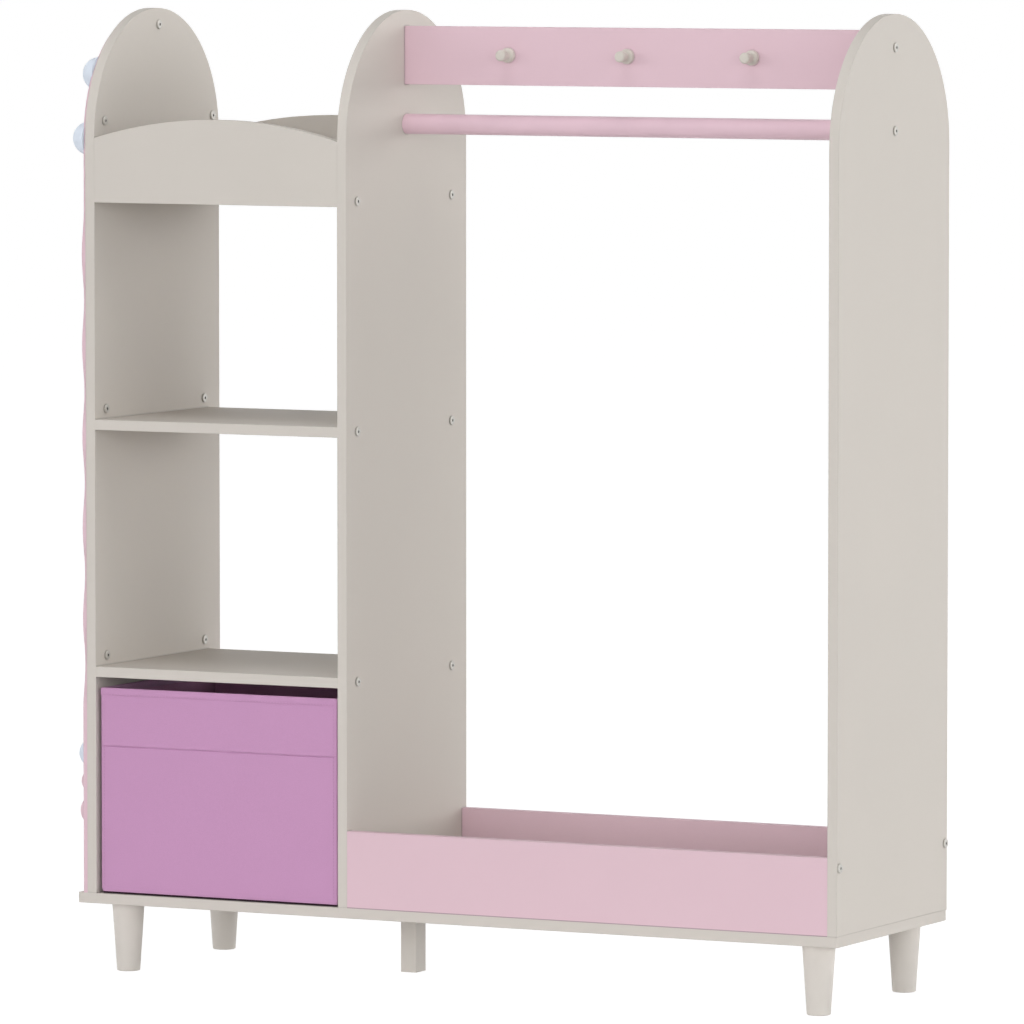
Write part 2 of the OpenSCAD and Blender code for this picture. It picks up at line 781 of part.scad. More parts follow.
base_board();
left_side_panel();
middle_panel();
right_side_panel();
lower_shelf();
upper_shelf();
tray_shelf();
tray_front_board();
tray_back_board();
peg_rail();
peg_left();
peg_middle();
peg_right();
clothes_pole();
low_front_board();
low_back_board();
leg_front_left();
leg_front_right();
leg_back_left();
leg_back_right();
centre_leg();
leg_studs();
leg_inserts();
mirror_frame();
mirror_sheet();
arch_domes();
low_blue_domes();
small_pink_domes();
large_pink_domes();
left_shelf_screws();
middle_shelf_screws();
mirror_frame_screws();
rail_screws();
pole_screws();
low_board_screws();
base_screws();
peg_screws();
tray_board_dowels();
rail_dowels();
low_board_dowels();
bin_front();
bin_back();
bin_left_side();
bin_right_side();
bin_floor();
bin_hem();
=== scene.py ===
"""Looks of the dress-up storage unit: materials, the sewn fabric bin, lights and camera.

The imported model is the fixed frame. X runs to the right, Y to the back and Z up, the origin
is on the floor, and every length is in metres.
"""

import math

import bpy
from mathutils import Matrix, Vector, noise

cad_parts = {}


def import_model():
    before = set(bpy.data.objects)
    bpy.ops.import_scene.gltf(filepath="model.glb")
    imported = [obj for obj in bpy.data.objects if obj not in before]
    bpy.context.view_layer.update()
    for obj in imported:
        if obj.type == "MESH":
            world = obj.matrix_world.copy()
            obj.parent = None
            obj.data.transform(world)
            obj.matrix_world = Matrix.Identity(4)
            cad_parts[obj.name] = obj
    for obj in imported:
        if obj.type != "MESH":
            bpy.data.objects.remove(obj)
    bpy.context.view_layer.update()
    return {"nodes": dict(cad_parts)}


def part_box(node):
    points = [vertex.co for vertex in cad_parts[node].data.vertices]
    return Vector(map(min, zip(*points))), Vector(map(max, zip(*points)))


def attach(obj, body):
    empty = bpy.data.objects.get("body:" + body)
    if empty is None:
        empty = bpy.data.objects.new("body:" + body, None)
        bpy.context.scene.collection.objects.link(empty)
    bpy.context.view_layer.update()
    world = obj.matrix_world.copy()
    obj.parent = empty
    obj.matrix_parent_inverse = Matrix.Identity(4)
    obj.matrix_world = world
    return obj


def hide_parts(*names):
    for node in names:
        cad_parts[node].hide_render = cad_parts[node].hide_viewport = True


MM = 0.001

# The photograph's view: angles in degrees, lens and sensor in millimetres
CAMERA_AZIMUTH = 26.99
CAMERA_ELEVATION = 4.16
CAMERA_DISTANCE = 10.22
CAMERA_AIM = Vector((0.0095, -0.0005, 0.5458))
CAMERA_LENS = 310.5
CAMERA_SENSOR = 36.0
CAMERA_CLIP_START = 0.1
CAMERA_CLIP_END = 500.0

# The lamps, all at one distance: azimuth and elevation in degrees, side in metres and watts
LAMP_DISTANCE = 6.0
LAMPS = {
    "top": (20, 75, 4.0, 138),
    "front": (5, 8, 3.0, 30),
    "right": (98, 20, 3.0, 44),
    "behind": (140, 15, 3.0, 12),
}

# The world's light: full up to the first rise, and none above the second, as sines
WORLD_STRENGTH = 2.7
GLOW_FULL = 0.22
GLOW_END = 0.38

# What the camera sees of the floor is four fifths plain light and a fifth the lit floor with
# its shadow, which come to white together
FLOOR_HALF_WIDTH = 150.0
FLOOR_PLAIN_SHARE = 0.80
FLOOR_LIGHT = 1.19

# Colours as linear red, green and blue
CREAM = (0.648, 0.607, 0.560)
CREAM_WOOD = (0.660, 0.618, 0.560)
# The cream wood made lighter for the legs: painted light, for the light under the base board
PAINTED_LIGHT_LEG_WOOD = (0.693, 0.652, 0.605)
PINK = (0.750, 0.545, 0.611)
PINK_LACQUER = (0.775, 0.556, 0.634)
LILAC = (0.583, 0.309, 0.522)
# The lilac made darker and redder for the lining: painted shade of the bin's deep inside
LINING_PAINTED_SHADE = (0.550, 0.262, 0.448)
THREAD = (0.470, 0.235, 0.410)
# Near-black cloth of a sheet under the bin, which paints the shadow in the gap there
SHADOW_SHEET_COLOUR = (0.020, 0.005, 0.013)
PALE_BLUE = (0.735, 0.800, 0.895)
PINK_DOME = (0.770, 0.560, 0.625)
STEEL = (0.580, 0.560, 0.525)
BRASS = (0.600, 0.430, 0.180)
BEECH = (0.560, 0.380, 0.210)
SILVER = (0.84, 0.87, 0.88)
PALE_FLOOR = (0.96, 0.96, 0.96)
WHITE = (1.0, 1.0, 1.0)

# Most values of a noise lie between these
NOISE_LOW = 0.3
NOISE_HIGH = 0.7

# Scales of the materials' noises, as features per metre, or along each axis
EVEN = (1, 1, 1)  # leaves a noise unstretched
BOARD_TONES = 5.0
BOARD_PORE = 1300.0
WOOD_TONES = 25.0
LEG_RINGS = (40, 40, 900)
PEG_RINGS = (60, 1400, 60)
POLE_RINGS = (8, 500, 500)
BEECH_FIBRES = (60, 1500, 1500)
PLATING_MARKS = 2500.0
MIRROR_HAZE = 14.0
MIRROR_WAVES = 4.0
PLASTIC_TONES = 60.0
PLASTIC_GRAIN = 1800.0
SLUBS = 900.0

# Depths of the materials' reliefs
PORE_DEPTH = 0.012 * MM
RING_DEPTH = 0.05 * MM
FIBRE_DEPTH = 0.05 * MM
MARK_DEPTH = 0.01 * MM
WAVE_DEPTH = 0.04 * MM
GRAIN_DEPTH = 0.008 * MM
WEAVE_DEPTH = 0.10 * MM

# Radii of the eased edges
BOARD_EDGE = 1.0 * MM
WOOD_EDGE = 0.5 * MM
METAL_EDGE = 0.3 * MM
EDGE_SAMPLES = 6

# Pitch of a weave's threads
FABRIC_PITCH = 0.55 * MM
THREAD_PITCH = 0.3 * MM

# How far the painted shade in a joint between two boards reaches, and how light it is at its
# middle
PAINTED_JOINT_REACH = 2.5 * MM
PAINTED_JOINT_SHADE = 0.75
FRAME_PAINTED_JOINT_SHADE = 0.87
OPEN_AIR_SAMPLES = 8

# How far the painted shade in the corners of plated metal reaches
PAINTED_SHADE_REACH = 3 * MM

# Height of the painted shade line where a board stands on the base board, and how light it is
# there
PAINTED_HAIRLINE_HEIGHT = 1.1 * MM
CREAM_PAINTED_HAIRLINE = 0.88
PINK_PAINTED_HAIRLINE = 0.60

# The moulded domes
DOME_SIDES = 64
DOME_STEPS = 17
DOME_SUNK = 0.6 * MM  # depth of the foot in the frame
DOME_RIM = 0.8 * MM
DOME_SHOULDER = 0.2 * MM  # between the rim and the crown

# How far the head of a flush screw, 2.2 mm high, is let into its board
FLUSH_DEPTH = 1.9 * MM

# The bin's fabric shell
SHELL_STEP = 7 * MM  # spacing of the mesh along a side
RING_STEP = 1.3 * SHELL_STEP  # spacing of the mesh up a side
CORNER_RADIUS = 1.5 * MM  # of the upright corners
CORNER_STEPS = 4
END_STEPS = (0.6 * MM, 1.3 * MM, 2.1 * MM, 3.2 * MM)  # extra points of a side beside a corner
CURL_STEPS = 7
FOOT_RADIUS = 4 * MM  # of the left side's lower edge
SQUARE_RADIUS = 1.6 * MM  # of the right side's lower edge, which sits squarer
HEEL_RADIUS = 0.8 * MM  # of the lower edges at the front and back
PUFF = 0.7 * MM  # how far a wall bulges in its middle
PUFF_ROUND = 0.6  # below 1, the bulge is flatter along the wall's middle
BELLY_REACH = 1.15  # above 1, the bulge ends below the mouth
BELLY_DROP = 0.8  # below 1, the bulge is fullest below the wall's middle
RIPPLE = 0.16 * MM  # height of the fabric's slow ripples
RIPPLES = 22.0  # features per metre
RIPPLE_FADE = 20 * MM  # the ripples fade out over this much below the mouth

# The sewn fold across its front
FOLD_DROP = 68 * MM  # below the mouth
FOLD_WIDTH = 0.5 * MM
FOLD_DEPTH = 2.0 * MM
FOLD_END = 3 * MM  # the fold is full up to this far from the upright corners
FOLD_FADE = 2 * MM  # and fades out over this much beyond
FOLD_CLEAR = 5 * MM  # the evenly spaced rings of the mesh keep this far from the fold
FOLD_RINGS = (-3.0, -1.2, -0.7, -0.4, -0.1, 0.1, 0.4, 0.7, 1.2, 3.0)  # in mm from the fold
FLAP_STEP = 0.35 * MM  # the fabric above the fold stands this much prouder

# Its lining, base card, and the dark sheet that paints the shadow under it
LINING_STEPS = 24
LINING_SAG = 0.6 * MM
LINING_RIPPLE = 2 * RIPPLE
LINING_RIPPLES = 16.0
LINING_CORNER = 0.6 * CORNER_RADIUS
CARD_GAP = 0.4 * MM  # between the card and the walls
CARD_LIFT = 0.1 * MM  # above the foot of the CAD walls
CARD_EASE = 0.8 * MM  # of its edges
CARD_BEND = 0.3 * CARD_EASE  # the point that rounds its top edge
CARD_MARGIN = 8 * MM  # of the top's ring of faces
# The dark sheet under the bin is painted shadow, a stand-in for the shade in the gap there
SHADOW_SHEET_HEIGHT = 2.2 * MM  # of the dark sheet that the bin stands on
SHADOW_SHEET_INSET = 1.2 * MM
SHADOW_SHEET_EASE = 0.3 * MM

# The binding around its mouth
BAND_HEIGHT = 8.7 * MM
BAND_THICKNESS = 0.8 * MM
BAND_TUCK = 0.05 * MM  # how far its foot reaches into the wall
BAND_EASE = 0.4 * MM
BAND_FOOT = 0.8 * BAND_THICKNESS  # how far its foot stands out
BAND_BELLY = 1.15 * BAND_THICKNESS  # how far it stands out where it is fullest
BAND_BELLY_RISE = 0.45 * BAND_HEIGHT
ROLL_HEIGHT = 1.0 * MM  # of the rounded top
ROLL_STEPS = 8

# Its stitches
STITCH_LENGTH = 2.8 * MM
STITCH_PITCH = 4.0 * MM
STITCH_RADIUS = 0.22 * MM
STITCH_SIDES = 6
STITCH_SHARES = (-0.5, -0.38, 0.0, 0.38, 0.5)  # where its rings lie along a stitch
STITCH_TIP = 0.35  # radius of its ends, as a share
ROW_RISE = 1.4 * MM  # of the row above the binding's foot
ROW_END = CORNER_RADIUS + 1 * MM  # the row stops this far from the corners
ROW_SKIN = 1.1 * BAND_THICKNESS  # how far it stands out from the wall
SEAM_INSET = 4.5 * MM  # of the upright seams from the corners
SEAM_PROUD = 0.12 * MM
SEAM_FOOT = 3 * MM  # above the curled lower edge
SEAM_TOP = 2 * MM  # below the binding


# ---- Node helpers ----------------------------------------------------------------------


def feed(mat, socket, value):
    """Links an output to a socket, or sets the socket to a plain value."""
    if isinstance(value, bpy.types.NodeSocket):
        mat.node_tree.links.new(value, socket)
    else:
        socket.default_value = value


def add(mat, kind, inputs=None, **settings):
    """Adds a node, with its sockets fed by name."""
    node = mat.node_tree.nodes.new("ShaderNode" + kind)
    for key, value in settings.items():
        setattr(node, key, value)
    for socket, value in (inputs or {}).items():
        feed(mat, node.inputs[socket], value)
    return node


def combine(mat, operation, first, second):
    """The result of a math operation on two values."""
    node = add(mat, "Math", {0: first, 1: second}, operation=operation)
    return node.outputs["Value"]


def new_material(name, **sockets):
    """A material with a Principled shader. A socket's words are joined by underscores."""
    mat = bpy.data.materials.new(name)
    mat.use_nodes = True
    shader = mat.node_tree.nodes["Principled BSDF"]
    for words, value in sockets.items():
        shader.inputs[words.replace("_", " ")].default_value = value
    return mat, shader


def stretched(mat, scale):
    """Object coordinates, scaled along each axis."""
    place = add(mat, "TexCoord").outputs["Object"]
    return add(mat, "Mapping", {"Vector": place, "Scale": scale}).outputs["Vector"]


def cloud(mat, where, scale, detail=2.0):
    """Noise between 0 and 1."""
    inputs = {"Vector": where, "Scale": scale, "Detail": detail}
    return add(mat, "TexNoise", inputs).outputs["Fac"]


def spread(mat, value, low, high, start=NOISE_LOW, end=NOISE_HIGH):
    """A value between start and end, spread over low to high."""
    inputs = {"Value": value, "From Min": start, "From Max": end, "To Min": low, "To Max": high}
    return add(mat, "MapRange", inputs).outputs["Result"]


def shaded(colour, factor):
    """A colour made lighter or darker, as the four numbers that a socket takes."""
    return (*(min(1.0, c * factor) for c in colour), 1.0)


def tones(mat, value, colour, low, high):
    """Tones of one colour, from low to high times as light."""
    ramp = add(mat, "ValToRGB", {"Fac": value})
    ramp.color_ramp.elements[0].position = NOISE_LOW
    ramp.color_ramp.elements[1].position = NOISE_HIGH
    ramp.color_ramp.elements[0].color = shaded(colour, low)
    ramp.color_ramp.elements[1].color = shaded(colour, high)
    return ramp.outputs["Color"]


def bump(mat, height, distance, normal=None):
    """A normal that follows a height, at full strength."""
    inputs = {"Height": height, "Strength": 1.0, "Distance": distance}
    if normal:
        inputs["Normal"] = normal
    return add(mat, "Bump", inputs).outputs["Normal"]


def soft_edges(mat, radius):
    """A normal that rounds sharp edges to a radius."""
    return add(mat, "Bevel", {"Radius": radius}, samples=EDGE_SAMPLES).outputs["Normal"]


def open_air(mat, reach):
    """How open a point is, from 0 deep in a corner to 1 where nothing is within reach."""
    inputs = {"Distance": reach}
    return add(mat, "AmbientOcclusion", inputs, samples=OPEN_AIR_SAMPLES).outputs["AO"]


# ---- Materials -------------------------------------------------------------------------


def painted_board_shade(mat, where, joint_painted_shade, painted_hairline):
    """How light a board is: painted shade in its joints and along the top of the base board."""
    # Painted shade, darker where another board is close
    painted_joint = spread(mat, open_air(mat, PAINTED_JOINT_REACH), joint_painted_shade, 1.0, start=0.5, end=0.95)
    # Painted shade in a thin line along the top of the base board
    height = add(mat, "SeparateXYZ", {"Vector": where}).outputs["Z"]
    base_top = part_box("base_board")[1].z
    start = base_top + 0.8 * PAINTED_HAIRLINE_HEIGHT
    end = base_top + 1.2 * PAINTED_HAIRLINE_HEIGHT
    return combine(mat, "MULTIPLY", painted_joint, spread(mat, height, painted_hairline, 1.0, start, end))


def laminate(name, colour, joint_painted_shade=PAINTED_JOINT_SHADE, painted_hairline=1.0):
    """Board with a satin printed foil: slow tone changes, a fine pore and eased edges.

    Where it meets another board it darkens with painted shade, by how close other surfaces are.
    The last argument is how light the painted shade line is along the top of the base board,
    for a board that stands on it.
    """
    mat, shader = new_material(name, Specular_IOR_Level=0.12)
    where = stretched(mat, EVEN)
    slow = cloud(mat, where, BOARD_TONES)
    pore = cloud(mat, where, BOARD_PORE, 3.0)
    average = combine(mat, "MULTIPLY", combine(mat, "ADD", slow, pore), 0.5)
    foil = tones(mat, average, colour, 0.975, 1.02)
    shade = {0: foil, 1: painted_board_shade(mat, where, joint_painted_shade, painted_hairline)}
    shaded_foil = add(mat, "VectorMath", shade, operation="MULTIPLY").outputs["Vector"]
    feed(mat, shader.inputs["Base Color"], shaded_foil)
    feed(mat, shader.inputs["Roughness"], spread(mat, slow, 0.52, 0.62))
    normal = bump(mat, pore, PORE_DEPTH, soft_edges(mat, BOARD_EDGE))
    feed(mat, shader.inputs["Normal"], normal)
    return mat


def painted_wood(name, colour, rings, roughness=0.38):
    """Lacquered turned wood with faint tool rings, whose scale along each axis is given."""
    mat, shader = new_material(name, Specular_IOR_Level=0.25)
    slow = cloud(mat, stretched(mat, EVEN), WOOD_TONES)
    marks = cloud(mat, stretched(mat, rings), 1.0, 3.0)
    feed(mat, shader.inputs["Base Color"], tones(mat, slow, colour, 0.965, 1.02))
    feed(mat, shader.inputs["Roughness"], spread(mat, marks, roughness, roughness + 0.10))
    normal = bump(mat, marks, RING_DEPTH, soft_edges(mat, WOOD_EDGE))
    feed(mat, shader.inputs["Normal"], normal)
    return mat


def raw_beech():
    """Bare beech of the dowels: long fibres and short darker flecks."""
    mat, shader = new_material("raw_beech", Roughness=0.7)
    fibres = cloud(mat, stretched(mat, BEECH_FIBRES), 1.0, 4.0)
    feed(mat, shader.inputs["Base Color"], tones(mat, fibres, BEECH, 0.8, 1.12))
    feed(mat, shader.inputs["Normal"], bump(mat, fibres, FIBRE_DEPTH))
    return mat


def plated_metal(name, colour):
    """Plated metal of screws, studs and inserts: fine tool marks, and painted shade in the
    corners.
    """
    mat, shader = new_material(name, Metallic=0.7)
    marks = cloud(mat, stretched(mat, EVEN), PLATING_MARKS, 3.0)
    # Painted shade, darker where other surfaces are close, as at the heads' rims and sockets
    painted_shade = tones(mat, open_air(mat, PAINTED_SHADE_REACH), colour, 0.2, 1.0)
    feed(mat, shader.inputs["Base Color"], painted_shade)
    feed(mat, shader.inputs["Roughness"], spread(mat, marks, 0.26, 0.40))
    normal = bump(mat, marks, MARK_DEPTH, soft_edges(mat, METAL_EDGE))
    feed(mat, shader.inputs["Normal"], normal)
    return mat


def mirror_coat():
    """A silvered sheet with a barely wavy surface and a trace of haze."""
    mat, shader = new_material("mirror", Metallic=1.0, Base_Color=(*SILVER, 1.0))
    where = stretched(mat, EVEN)
    haze = cloud(mat, where, MIRROR_HAZE, 5.0)
    feed(mat, shader.inputs["Roughness"], spread(mat, haze, 0.0, 0.03))
    waves = cloud(mat, where, MIRROR_WAVES, 0.0)
    feed(mat, shader.inputs["Normal"], bump(mat, waves, WAVE_DEPTH))
    return mat


def moulded_plastic(name, colour):
    """Satin plastic of the domes: slow tone changes and a very fine moulded grain."""
    mat, shader = new_material(name, Specular_IOR_Level=0.2)
    where = stretched(mat, EVEN)
    slow = cloud(mat, where, PLASTIC_TONES)
    grain = cloud(mat, where, PLASTIC_GRAIN)
    feed(mat, shader.inputs["Base Color"], tones(mat, slow, colour, 0.98, 1.02))
    feed(mat, shader.inputs["Roughness"], spread(mat, slow, 0.42, 0.52))
    feed(mat, shader.inputs["Normal"], bump(mat, grain, GRAIN_DEPTH))
    return mat


def woven_fabric(name, colour, pitch=FABRIC_PITCH):
    """Plain weave: threads cross under and over, with slubs and a soft sheen."""
    finish = {"Roughness": 0.86, "Specular_IOR_Level": 0.25}
    sheen = {"Sheen_Weight": 0.25, "Sheen_Roughness": 0.5}
    mat, shader = new_material(name, **finish, **sheen)
    place = add(mat, "TexCoord").outputs["Object"]
    axes = add(mat, "SeparateXYZ", {"Vector": place}).outputs
    # The walls stand upright, so one set of threads follows x + y and the other z
    waves = []
    for value in (combine(mat, "ADD", axes["X"], axes["Y"]), axes["Z"]):
        phase = combine(mat, "MULTIPLY", value, 2 * math.pi / pitch)
        waves.append(add(mat, "Math", {0: phase}, operation="SINE").outputs["Value"])
    cross = combine(mat, "MULTIPLY", *waves)
    slubs = cloud(mat, stretched(mat, EVEN), SLUBS, 4.0)
    weave = combine(mat, "ADD", combine(mat, "MULTIPLY", cross, 0.25), slubs)
    feed(mat, shader.inputs["Base Color"], tones(mat, weave, colour, 0.96, 1.04))
    feed(mat, shader.inputs["Normal"], bump(mat, weave, WEAVE_DEPTH))
    return mat


def dress(nodes, mat):
    """Gives CAD nodes a material."""
    for name in nodes:
        slots = frame["nodes"][name].data.materials
        slots.clear()
        slots.append(mat)


# ---- Mesh helpers ----------------------------------------------------------------------


def new_object(name, data):
    """An object in the scene that shows a mesh, a lamp or a camera."""
    item = bpy.data.objects.new(name, data)
    bpy.context.scene.collection.objects.link(item)
    return item


def mesh_piece(name, verts, faces, mat, body="storage_bin"):
    """A smooth-shaded piece that rides on a body."""
    mesh = bpy.data.meshes.new(name)
    mesh.from_pydata([tuple(v) for v in verts], [], faces)
    mesh.update()
    mesh.shade_smooth()
    mesh.materials.append(mat)
    piece = new_object(name, mesh)
    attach(piece, body)
    return piece


def ring_faces(rings, count, closed_start=False, closed_end=False):
    """Quads between rings of count points each, and caps where they are asked for."""
    faces = []
    for ring in range(rings - 1):
        low, high = ring * count, (ring + 1) * count
        for i in range(count):
            j = (i + 1) % count
            faces.append((low + i, low + j, high + j, high + i))
    if closed_start:
        faces.append(tuple(reversed(range(count))))
    if closed_end:
        faces.append(tuple((rings - 1) * count + i for i in range(count)))
    return faces


def heading(degrees):
    """The unit vector at an angle from X towards Y."""
    angle = math.radians(degrees)
    return Vector((math.cos(angle), math.sin(angle)))


def side_shares(length):
    """Where the points of a side lie, from 0 to 1: evenly spaced, with extra ones at its ends."""
    steps = max(2, round(length / SHELL_STEP))
    ends = [step / length for step in END_STEPS]
    even = [i / steps for i in range(1, steps)]
    return ends + even + [1 - end for end in reversed(ends)]


def outline(low, high, radius):
    """The bin's outline from above: a rectangle with rounded corners, counter-clockwise.

    Each of its stations is (point, outward, share), where share runs from 0 to 1 along a side
    and is None on a corner.
    """
    corners = [
        (Vector((high.x - radius, low.y + radius)), -90),
        (Vector((high.x - radius, high.y - radius)), 0),
        (Vector((low.x + radius, high.y - radius)), 90),
        (Vector((low.x + radius, low.y + radius)), 180),
    ]
    stations = []
    previous = corners[-1][0]
    for centre, start in corners:
        outward = heading(start)
        for share in side_shares((centre - previous).length):
            point = previous.lerp(centre, share) + outward * radius
            stations.append((point, outward, share))
        for i in range(CORNER_STEPS + 1):
            turn = heading(start + 90 * i / CORNER_STEPS)
            stations.append((centre + turn * radius, turn, None))
        previous = centre
    return stations


def swept(stations, profile):
    """Points of a profile of (outward offset, height), carried around an outline."""
    verts = []
    for offset, z in profile:
        for point, outward, _ in stations:
            verts.append((*(point + outward * offset), z))
    return verts


# ---- The domes -------------------------------------------------------------------------


def dome_centres(node):
    """Radius and centres of a node's domes, from its box.

    There are two domes at one height, or four on an arch: two at its ends and two above.
    """
    low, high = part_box(node)
    radius = high.x - low.x
    base = low.z + radius
    rise = high.z - radius - base
    reach = high.y - radius
    spots = [(reach, base)]
    if rise > radius:
        spots.append((math.sqrt(reach * reach - rise * rise), base + rise))
    return radius, [Vector((high.x, side * y, z)) for side in (-1, 1) for y, z in spots]


def dome_shape(radius):
    """A dome's outline from the frame outwards, each point as (radius, height)."""
    # The foot is sunk in the frame, so that the dome shows no lit or dark ring there
    points = [(radius, -DOME_SUNK), (radius, -DOME_SUNK / 2), (radius, DOME_RIM)]
    crown = radius - DOME_SHOULDER
    for i in range(1, DOME_STEPS):
        angle = math.radians(90 * i / DOME_STEPS)
        height = DOME_RIM + (radius - DOME_RIM) * math.sin(angle)
        points.append((crown * math.cos(angle), height))
    return points


def add_dome(verts, faces, centre, radius):
    """Adds a dome, which rises from the frame to the left, to a mesh's lists."""
    shape = dome_shape(radius)
    start = len(verts)
    for ring, height in shape:
        for k in range(DOME_SIDES):
            angle = 2 * math.pi * k / DOME_SIDES
            side = Vector((0, math.cos(angle), math.sin(angle)))
            verts.append(centre + Vector((-height, 0, 0)) + side * ring)
    verts.append(centre + Vector((-radius, 0, 0)))
    for face in ring_faces(len(shape), DOME_SIDES, closed_start=True):
        faces.append(tuple(start + i for i in reversed(face)))
    last = start + (len(shape) - 1) * DOME_SIDES
    tip = last + DOME_SIDES
    for k in range(DOME_SIDES):
        faces.append((last + (k + 1) % DOME_SIDES, last + k, tip))


def domes(node, mat):
    """Moulded domes with a narrow rim, in place of a node's plain half balls."""
    radius, centres = dome_centres(node)
    verts, faces = [], []
    for centre in centres:
        add_dome(verts, faces, centre, radius)
    piece = mesh_piece("moulded_" + node, verts, faces, mat, "frame")
    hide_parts(node)


# ---- Flush screws ----------------------------------------------------------------------


def flush_screws(node, way, limit, mat):
    """Screws whose heads are let into a board, in place of a node's proud heads.

    The screws to the left of the limit are let in along the way, and the others stay proud.
    """
    mesh = frame["nodes"][node].data.copy()
    for vertex in mesh.vertices:
        if vertex.co.x < limit:
            vertex.co += way * FLUSH_DEPTH
    mesh.materials.clear()
    mesh.materials.append(mat)
    piece = new_object("flush_" + node, mesh)
    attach(piece, "frame")
    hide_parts(node)


# ---- The sewn bin ----------------------------------------------------------------------


def bin_box():
    """The outer corners of the bin's walls, up to the top of the binding."""
    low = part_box("bin_front")[0]
    back_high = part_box("bin_back")[1]
    return low, Vector((back_high.x, back_high.y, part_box("bin_hem")[1].z))


def fold_at(share, outward, z, top, width):
    """How far the front's sewn fold sets the fabric in (+) or out (-) at a height."""
    on_front = share is not None and outward.y < -0.99
    if not on_front:
        return 0.0
    from_end = min(share, 1 - share) * width
    fade = min(1.0, max(0.0, (from_end - FOLD_END) / FOLD_FADE + 1.0))
    above = z - (top - FOLD_DROP)
    groove = FOLD_DEPTH * math.exp(-((above / FOLD_WIDTH) ** 2))
    flap = FLAP_STEP if above > 0 else 0.0
    return fade * (groove - flap)


def puff_at(share, up):
    """How far a wall stands out of its plane, from its place along and up the side."""
    low_belly = math.sin(math.pi * min(1.0, up * BELLY_REACH) ** BELLY_DROP)
    return PUFF * math.sin(math.pi * share) ** PUFF_ROUND * max(0.0, low_belly)


def ripple_at(point, z, top):
    """How far the fabric's slow ripples stand out, fading out below the mouth."""
    height = noise.noise(Vector((*point, z)) * RIPPLES)
    return RIPPLE * height * min(1.0, (top - z) / RIPPLE_FADE)


def foot_at(point, outward, low, high):
    """Radius of the lower edge at a station, and its rise above the painted shadow sheet.

    The sides curl in, and the flat front and back have rounded corners to match.
    """
    sideways = abs(outward.x)
    from_left, from_right = point.x - low.x, high.x - point.x
    curl = FOOT_RADIUS if from_left < from_right else SQUARE_RADIUS
    short = min(curl, max(0.0, curl - min(from_left, from_right)))
    rise = curl - math.sqrt(curl**2 - short**2)
    return HEEL_RADIUS + (curl - HEEL_RADIUS) * sideways, rise * (1 - sideways)


def curled_edge(stations, low, high):
    """Points of the shell's lower edge, which curls under the bin."""
    verts = []
    for i in range(CURL_STEPS):
        angle = math.radians(90 * i / CURL_STEPS)
        for point, outward, _ in stations:
            radius, rise = foot_at(point, outward, low, high)
            inset = radius * (1 - math.sin(angle))
            z = low.z + SHADOW_SHEET_HEIGHT + rise + radius * (1 - math.cos(angle))
            verts.append((*(point - outward * inset), z))
    return verts


def shell_heights(foot, top):
    """Heights of the mesh's rings: evenly spaced, and close together at the fold."""
    fold = top - FOLD_DROP
    near = [fold + d * MM for d in FOLD_RINGS]
    steps = round((top - foot) / RING_STEP)
    even = [foot + (top - foot) * i / steps for i in range(steps + 1)]
    clear = [z for z in even if abs(z - fold) > FOLD_CLEAR]
    return sorted(clear + near)


def outer_shell(low, high, mat):
    """The bin's outside: four walls with a soft belly, rounded corners and lower edges."""
    stations = outline(low.xy, high.xy, CORNER_RADIUS)
    verts = curled_edge(stations, low, high)
    foot = low.z + SHADOW_SHEET_HEIGHT + FOOT_RADIUS
    heights = shell_heights(foot, high.z)
    for z in heights:
        up = (z - foot) / (high.z - foot)
        for point, outward, share in stations:
            out = 0.0
            if share is not None:
                out = puff_at(share, up) + ripple_at(point, z, high.z)
            out -= fold_at(share, outward, z, high.z, high.x - low.x)
            verts.append((*(point + outward * out), z))
    faces = ring_faces(CURL_STEPS + len(heights), len(stations), closed_start=True)
    shell = mesh_piece("bin_outer_shell", verts, faces, mat)
    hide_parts("bin_front", "bin_back", "bin_left_side", "bin_right_side")


def lining(low, high, wall, mat):
    """The bin's inside, from the mouth down to the base card."""
    inset = Vector((wall, wall))
    stations = outline(low.xy + inset, high.xy - inset, LINING_CORNER)
    depth = high.z - low.z - wall
    heights = [low.z + wall + depth * i / LINING_STEPS for i in range(LINING_STEPS + 1)]
    verts = []
    for z in heights:
        slack = math.sin(math.pi * (z - low.z) / (high.z - low.z))
        for point, outward, share in stations:
            sag = 0.0 if share is None else LINING_SAG * math.sin(math.pi * share)
            ripple = LINING_RIPPLE * noise.noise(Vector((*point, z)) * LINING_RIPPLES)
            out = -(sag * slack + ripple * slack**2)
            verts.append((*(point + outward * out), z))
    faces = [tuple(reversed(face)) for face in ring_faces(len(heights), len(stations))]
    mesh_piece("bin_lining", verts, faces, mat)


def base_card(low, high, wall, mat):
    """The stiff card on the bin's floor, covered with the lining's fabric."""
    gap = Vector((1, 1)) * (wall + CARD_GAP)
    stations = outline(low.xy + gap, high.xy - gap, CORNER_RADIUS)
    bottom = low.z + CARD_LIFT
    top = low.z + wall
    profile = [
        (-CARD_EASE, bottom),
        (0.0, bottom + CARD_EASE),
        (0.0, top - CARD_EASE),
        (-CARD_BEND, top - CARD_BEND),
        (-CARD_EASE, top),
        (-CARD_MARGIN, top),
    ]
    faces = ring_faces(len(profile), len(stations), closed_start=True, closed_end=True)
    card = mesh_piece("bin_base_card", swept(stations, profile), faces, mat)
    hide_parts("bin_floor")


